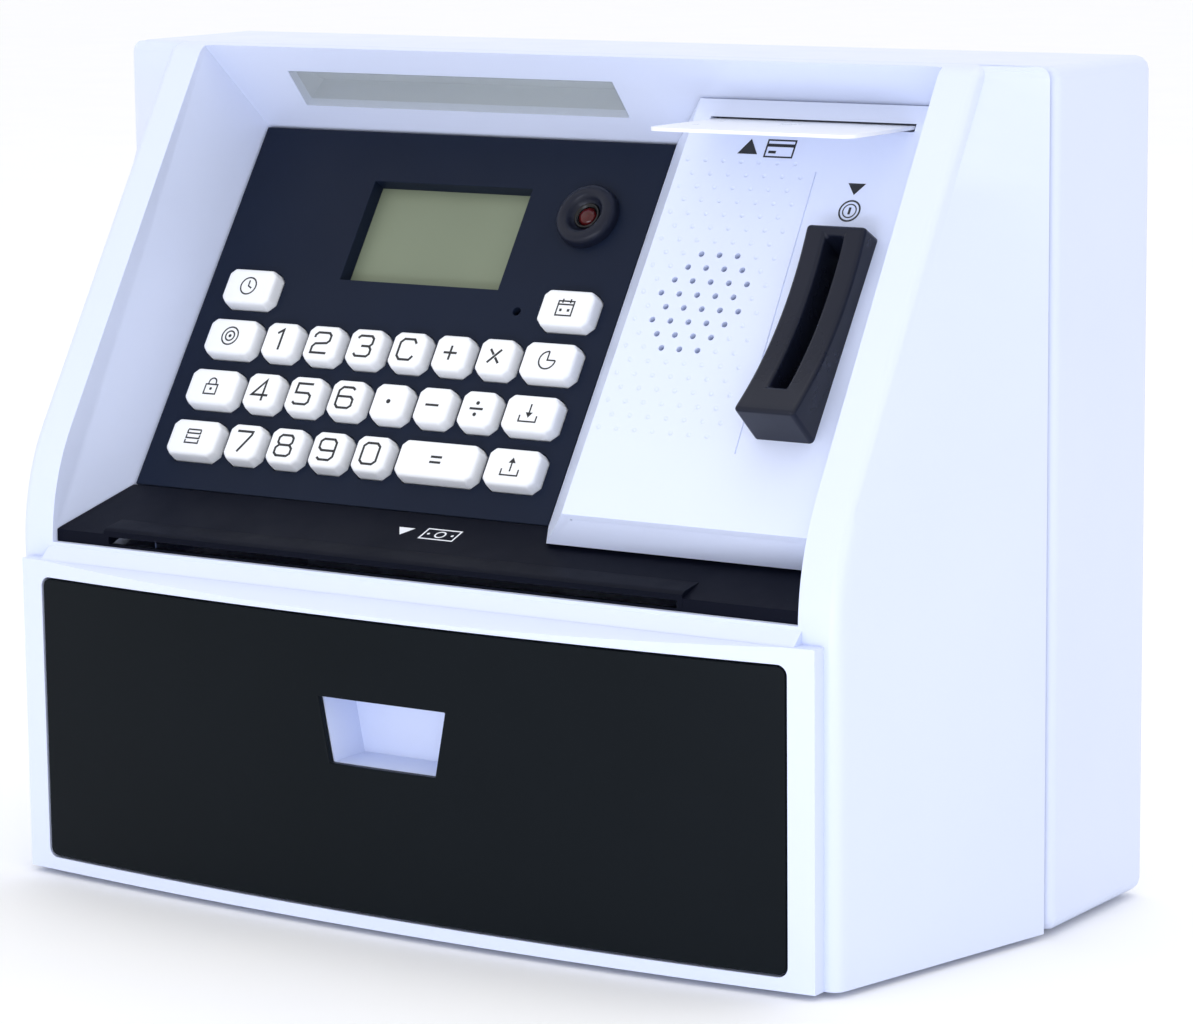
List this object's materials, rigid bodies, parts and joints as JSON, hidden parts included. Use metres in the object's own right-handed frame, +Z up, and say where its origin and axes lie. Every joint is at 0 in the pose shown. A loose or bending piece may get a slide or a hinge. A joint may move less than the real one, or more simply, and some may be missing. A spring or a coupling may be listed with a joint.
{
  "type": "toy cash machine savings bank",
  "caption": "Toy cash machine coin bank with a sloping calculator keypad, display, camera eye, card, coin and banknote slots and a pull-out cash drawer.",
  "frame": {"origin": "middle of the bottom of the object's box, on the surface it stands on", "axes": "+X to the right seen from the front, +Y to the back, +Z up"},
  "size_m": [0.265, 0.126, 0.2],
  "materials": {
    "white_shell": "gloss moulded ABS",
    "cell_jacket": "printed sleeve",
    "spring_steel": "plated",
    "rubber": "matte",
    "black_panel": "semi-gloss",
    "silicone": "matte",
    "circuit_board": "solder mask",
    "clear_plastic": "clear",
    "display": "reflective liquid crystal",
    "camera_glass": "dark red",
    "grey_plastic": "matte",
    "led": "encapsulated",
    "speaker_black": "matte",
    "card": "laminated",
    "black_drawer": "semi-gloss",
    "key_white": "gloss"
  },
  "bodies": {
    "housing": {"front_housing": "white_shell", "rear_housing": "white_shell", "battery_door": "white_shell", "batteries": "cell_jacket", "battery_contacts": "spring_steel", "rubber_feet": "rubber", "housing_screws": "spring_steel", "keypad_panel": "black_panel", "keypad_membrane": "silicone", "main_board": "circuit_board", "board_screws": "spring_steel", "display_lens": "clear_plastic", "display_module": "display", "camera_ring": "black_panel", "camera_lens": "camera_glass", "camera_module": "circuit_board", "window_lens": "clear_plastic", "light_box": "grey_plastic", "led_strip": "led", "card_panel": "white_shell", "speaker": "speaker_black", "coin_bezel": "black_panel", "coin_chute": "grey_plastic", "coin_switch": "speaker_black", "card_guide": "grey_plastic", "card_switch": "speaker_black", "note_shelf": "black_panel", "lock_solenoid": "spring_steel"},
    "drawer": {"drawer_front": "black_drawer", "drawer_tray": "white_shell", "lock_catch": "spring_steel"},
    "bank_card": {"bank_card": "card"},
    "coin_lever": {"coin_lever": "grey_plastic"},
    "lock_bolt": {"lock_bolt": "spring_steel"},
    "key_1": {"key_1": "key_white"},
    "key_2": {"key_2": "key_white"},
    "key_3": {"key_3": "key_white"},
    "key_4": {"key_4": "key_white"},
    "key_5": {"key_5": "key_white"},
    "key_6": {"key_6": "key_white"},
    "key_7": {"key_7": "key_white"},
    "key_8": {"key_8": "key_white"},
    "key_9": {"key_9": "key_white"},
    "key_0": {"key_0": "key_white"},
    "key_clear": {"key_clear": "key_white"},
    "key_point": {"key_point": "key_white"},
    "key_plus": {"key_plus": "key_white"},
    "key_minus": {"key_minus": "key_white"},
    "key_times": {"key_times": "key_white"},
    "key_divide": {"key_divide": "key_white"},
    "key_equals": {"key_equals": "key_white"},
    "key_clock": {"key_clock": "key_white"},
    "key_goal": {"key_goal": "key_white"},
    "key_password": {"key_password": "key_white"},
    "key_balance": {"key_balance": "key_white"},
    "key_days": {"key_days": "key_white"},
    "key_shortfall": {"key_shortfall": "key_white"},
    "key_deposit": {"key_deposit": "key_white"},
    "key_withdraw": {"key_withdraw": "key_white"}
  },
  "joints": [
    {"name": "drawer_slide", "type": "slide", "parent": "housing", "child": "drawer", "axis": [0, -1, 0], "range_m": [0, 0.088]},
    {"name": "card_slide", "type": "slide", "parent": "housing", "child": "bank_card", "axis": [0, -1, 0], "range_m": [0, 0.04]},
    {"name": "coin_lever_turn", "type": "hinge", "parent": "housing", "child": "coin_lever", "pos_m": [0.08775, 0.02758, 0.11754], "axis": [1, 0, 0], "range_deg": [0, 25], "stiffness_Nm_per_rad": 0.0002},
    {"name": "lock_bolt_slide", "type": "slide", "parent": "housing", "child": "lock_bolt", "axis": [0, 0, -1], "range_m": [0, 0.0045], "stiffness_N_per_m": 60},
    {"name": "key_1_press", "type": "slide", "parent": "housing", "child": "key_1", "axis": [0, 0.829, -0.5592], "range_m": [0, 0.0012], "stiffness_N_per_m": 300},
    {"name": "key_2_press", "type": "slide", "parent": "housing", "child": "key_2", "axis": [0, 0.829, -0.5592], "range_m": [0, 0.0012], "stiffness_N_per_m": 300},
    {"name": "key_3_press", "type": "slide", "parent": "housing", "child": "key_3", "axis": [0, 0.829, -0.5592], "range_m": [0, 0.0012], "stiffness_N_per_m": 300},
    {"name": "key_4_press", "type": "slide", "parent": "housing", "child": "key_4", "axis": [0, 0.829, -0.5592], "range_m": [0, 0.0012], "stiffness_N_per_m": 300},
    {"name": "key_5_press", "type": "slide", "parent": "housing", "child": "key_5", "axis": [0, 0.829, -0.5592], "range_m": [0, 0.0012], "stiffness_N_per_m": 300},
    {"name": "key_6_press", "type": "slide", "parent": "housing", "child": "key_6", "axis": [0, 0.829, -0.5592], "range_m": [0, 0.0012], "stiffness_N_per_m": 300},
    {"name": "key_7_press", "type": "slide", "parent": "housing", "child": "key_7", "axis": [0, 0.829, -0.5592], "range_m": [0, 0.0012], "stiffness_N_per_m": 300},
    {"name": "key_8_press", "type": "slide", "parent": "housing", "child": "key_8", "axis": [0, 0.829, -0.5592], "range_m": [0, 0.0012], "stiffness_N_per_m": 300},
    {"name": "key_9_press", "type": "slide", "parent": "housing", "child": "key_9", "axis": [0, 0.829, -0.5592], "range_m": [0, 0.0012], "stiffness_N_per_m": 300},
    {"name": "key_0_press", "type": "slide", "parent": "housing", "child": "key_0", "axis": [0, 0.829, -0.5592], "range_m": [0, 0.0012], "stiffness_N_per_m": 300},
    {"name": "key_clear_press", "type": "slide", "parent": "housing", "child": "key_clear", "axis": [0, 0.829, -0.5592], "range_m": [0, 0.0012], "stiffness_N_per_m": 300},
    {"name": "key_point_press", "type": "slide", "parent": "housing", "child": "key_point", "axis": [0, 0.829, -0.5592], "range_m": [0, 0.0012], "stiffness_N_per_m": 300},
    {"name": "key_plus_press", "type": "slide", "parent": "housing", "child": "key_plus", "axis": [0, 0.829, -0.5592], "range_m": [0, 0.0012], "stiffness_N_per_m": 300},
    {"name": "key_minus_press", "type": "slide", "parent": "housing", "child": "key_minus", "axis": [0, 0.829, -0.5592], "range_m": [0, 0.0012], "stiffness_N_per_m": 300},
    {"name": "key_times_press", "type": "slide", "parent": "housing", "child": "key_times", "axis": [0, 0.829, -0.5592], "range_m": [0, 0.0012], "stiffness_N_per_m": 300},
    {"name": "key_divide_press", "type": "slide", "parent": "housing", "child": "key_divide", "axis": [0, 0.829, -0.5592], "range_m": [0, 0.0012], "stiffness_N_per_m": 300},
    {"name": "key_equals_press", "type": "slide", "parent": "housing", "child": "key_equals", "axis": [0, 0.829, -0.5592], "range_m": [0, 0.0012], "stiffness_N_per_m": 300},
    {"name": "key_clock_press", "type": "slide", "parent": "housing", "child": "key_clock", "axis": [0, 0.829, -0.5592], "range_m": [0, 0.0012], "stiffness_N_per_m": 300},
    {"name": "key_goal_press", "type": "slide", "parent": "housing", "child": "key_goal", "axis": [0, 0.829, -0.5592], "range_m": [0, 0.0012], "stiffness_N_per_m": 300},
    {"name": "key_password_press", "type": "slide", "parent": "housing", "child": "key_password", "axis": [0, 0.829, -0.5592], "range_m": [0, 0.0012], "stiffness_N_per_m": 300},
    {"name": "key_balance_press", "type": "slide", "parent": "housing", "child": "key_balance", "axis": [0, 0.829, -0.5592], "range_m": [0, 0.0012], "stiffness_N_per_m": 300},
    {"name": "key_days_press", "type": "slide", "parent": "housing", "child": "key_days", "axis": [0, 0.829, -0.5592], "range_m": [0, 0.0012], "stiffness_N_per_m": 300},
    {"name": "key_shortfall_press", "type": "slide", "parent": "housing", "child": "key_shortfall", "axis": [0, 0.829, -0.5592], "range_m": [0, 0.0012], "stiffness_N_per_m": 300},
    {"name": "key_deposit_press", "type": "slide", "parent": "housing", "child": "key_deposit", "axis": [0, 0.829, -0.5592], "range_m": [0, 0.0012], "stiffness_N_per_m": 300},
    {"name": "key_withdraw_press", "type": "slide", "parent": "housing", "child": "key_withdraw", "axis": [0, 0.829, -0.5592], "range_m": [0, 0.0012], "stiffness_N_per_m": 300}
  ]
}
